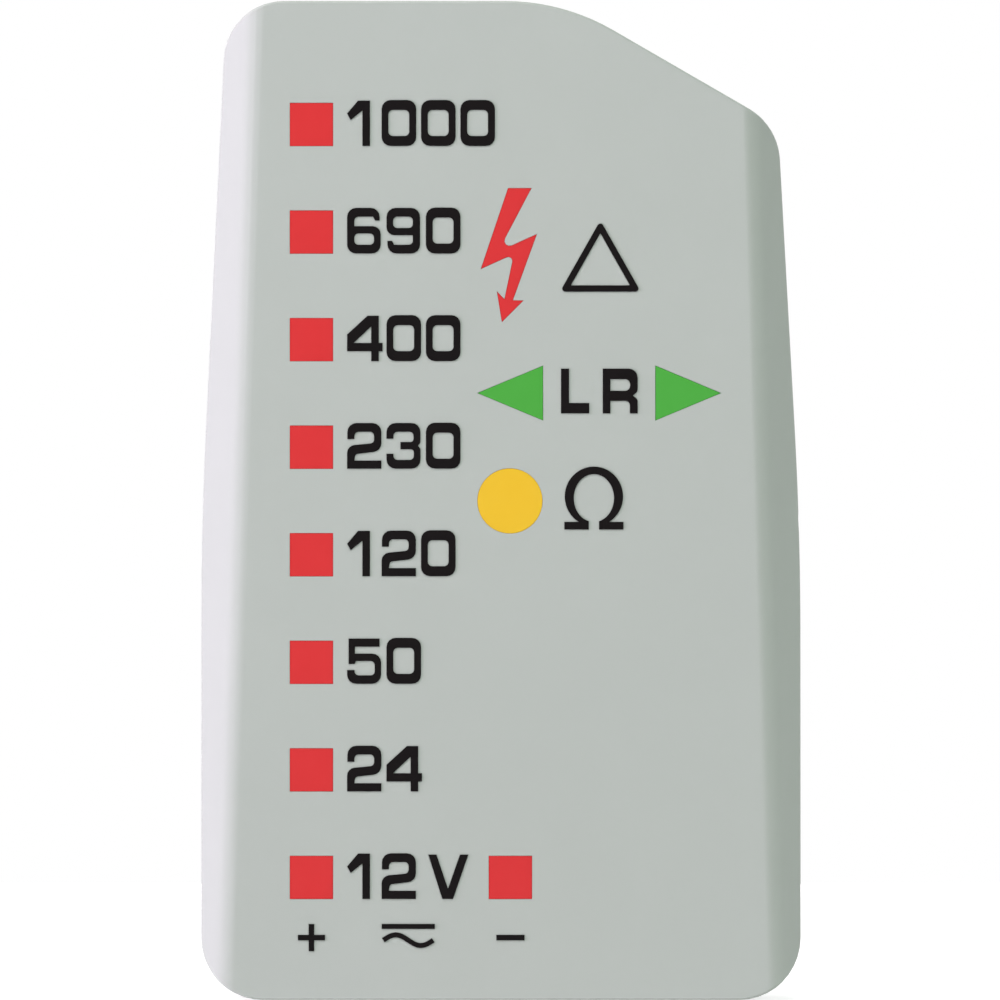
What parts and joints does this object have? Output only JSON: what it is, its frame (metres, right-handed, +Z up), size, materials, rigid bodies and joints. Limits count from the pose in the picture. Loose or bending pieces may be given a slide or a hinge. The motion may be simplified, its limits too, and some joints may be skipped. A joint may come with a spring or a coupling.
{
  "type": "two-pole voltage tester",
  "caption": "Light grey two-pole voltage tester head with a column of red voltage lights, rotation arrows and a continuity lamp, a recessed test-tip socket on top and a lead inlet below.",
  "frame": {"origin": "middle of the flat bottom end that the tester stands on", "axes": "+Z up towards the test-tip socket, -Y out of the display face, +X to the right as the face is read"},
  "size_m": [0.064, 0.0301, 0.1065],
  "materials": {
    "shell": "light grey moulded ABS with a fine spark-eroded texture",
    "red_light": "red tinted clear polycarbonate, polished face",
    "green_light": "green tinted clear polycarbonate, polished face",
    "yellow_light": "yellow tinted clear polycarbonate, polished face",
    "ink": "black pad-printed ink",
    "black_rubber": "black silicone rubber",
    "steel": "zinc-plated steel",
    "brass": "bare turned brass",
    "board": "green solder mask over glass-epoxy laminate",
    "black_plastic": "black moulded plastic",
    "lamp_body": "white lamp package with a clear top",
    "resistor_body": "blue lacquered resistor body",
    "thermistor_body": "ochre coated ceramic disc",
    "cell_can": "dark plastic sleeve over a metal can",
    "button_plastic": "dark grey moulded plastic",
    "white_plastic": "pale moulded switch plastic",
    "weight_metal": "sintered heavy metal",
    "wire_cover": "red wire insulation"
  },
  "bodies": {
    "housing": {"front_cover": "shell", "rear_cover": "shell", "housing_seal": "black_rubber", "housing_screws": "steel", "voltage_light_guides": "red_light", "polarity_light_guide": "red_light", "phase_light_guide": "red_light", "left_arrow_light_guide": "green_light", "right_arrow_light_guide": "green_light", "continuity_light_guide": "yellow_light", "printed_scale": "ink", "light_shield": "black_plastic", "main_board": "board", "board_screws": "steel", "indicator_lamps": "lamp_body", "microcontroller": "black_plastic", "series_resistors": "resistor_body", "thermistors": "thermistor_body", "buzzer": "black_plastic", "lead_terminal": "brass", "switch_body": "black_plastic", "motor_can": "steel", "motor_bracket": "black_plastic", "battery_cells": "cell_can", "battery_springs": "steel", "battery_contacts": "steel", "door_gasket": "black_rubber", "screw_insert": "brass", "tip_socket_sleeve": "brass", "tip_socket_bush": "black_plastic", "tip_wire": "wire_cover", "lead_grommet": "black_rubber"},
    "button": {"load_button": "button_plastic", "button_membrane": "black_rubber", "switch_plunger": "white_plastic", "button_spring": "steel"},
    "door": {"battery_door": "shell"},
    "screw": {"door_screw": "steel", "door_screw_keeper": "black_plastic"},
    "rotor": {"motor_shaft": "steel", "eccentric_weight": "weight_metal"}
  },
  "joints": [
    {"name": "button_press", "type": "slide", "parent": "housing", "child": "button", "axis": [0, -1, 0], "range_m": [0, 0.0013], "stiffness_N_per_m": 1000, "deforming": ["button_spring"]},
    {"name": "door_hinge", "type": "hinge", "parent": "housing", "child": "door", "pos_m": [0, 0.0134, 0.0112], "axis": [-1, 0, 0], "range_deg": [0, 90]},
    {"name": "door_screw_turn", "type": "hinge", "parent": "door", "child": "screw", "pos_m": [0, 0.0138, 0.0689], "axis": [0, 1, 0], "continuous": true},
    {"name": "rotor_spin", "type": "hinge", "parent": "housing", "child": "rotor", "pos_m": [0.021, 0.003, 0.042], "axis": [0, 0, 1], "continuous": true}
  ]
}
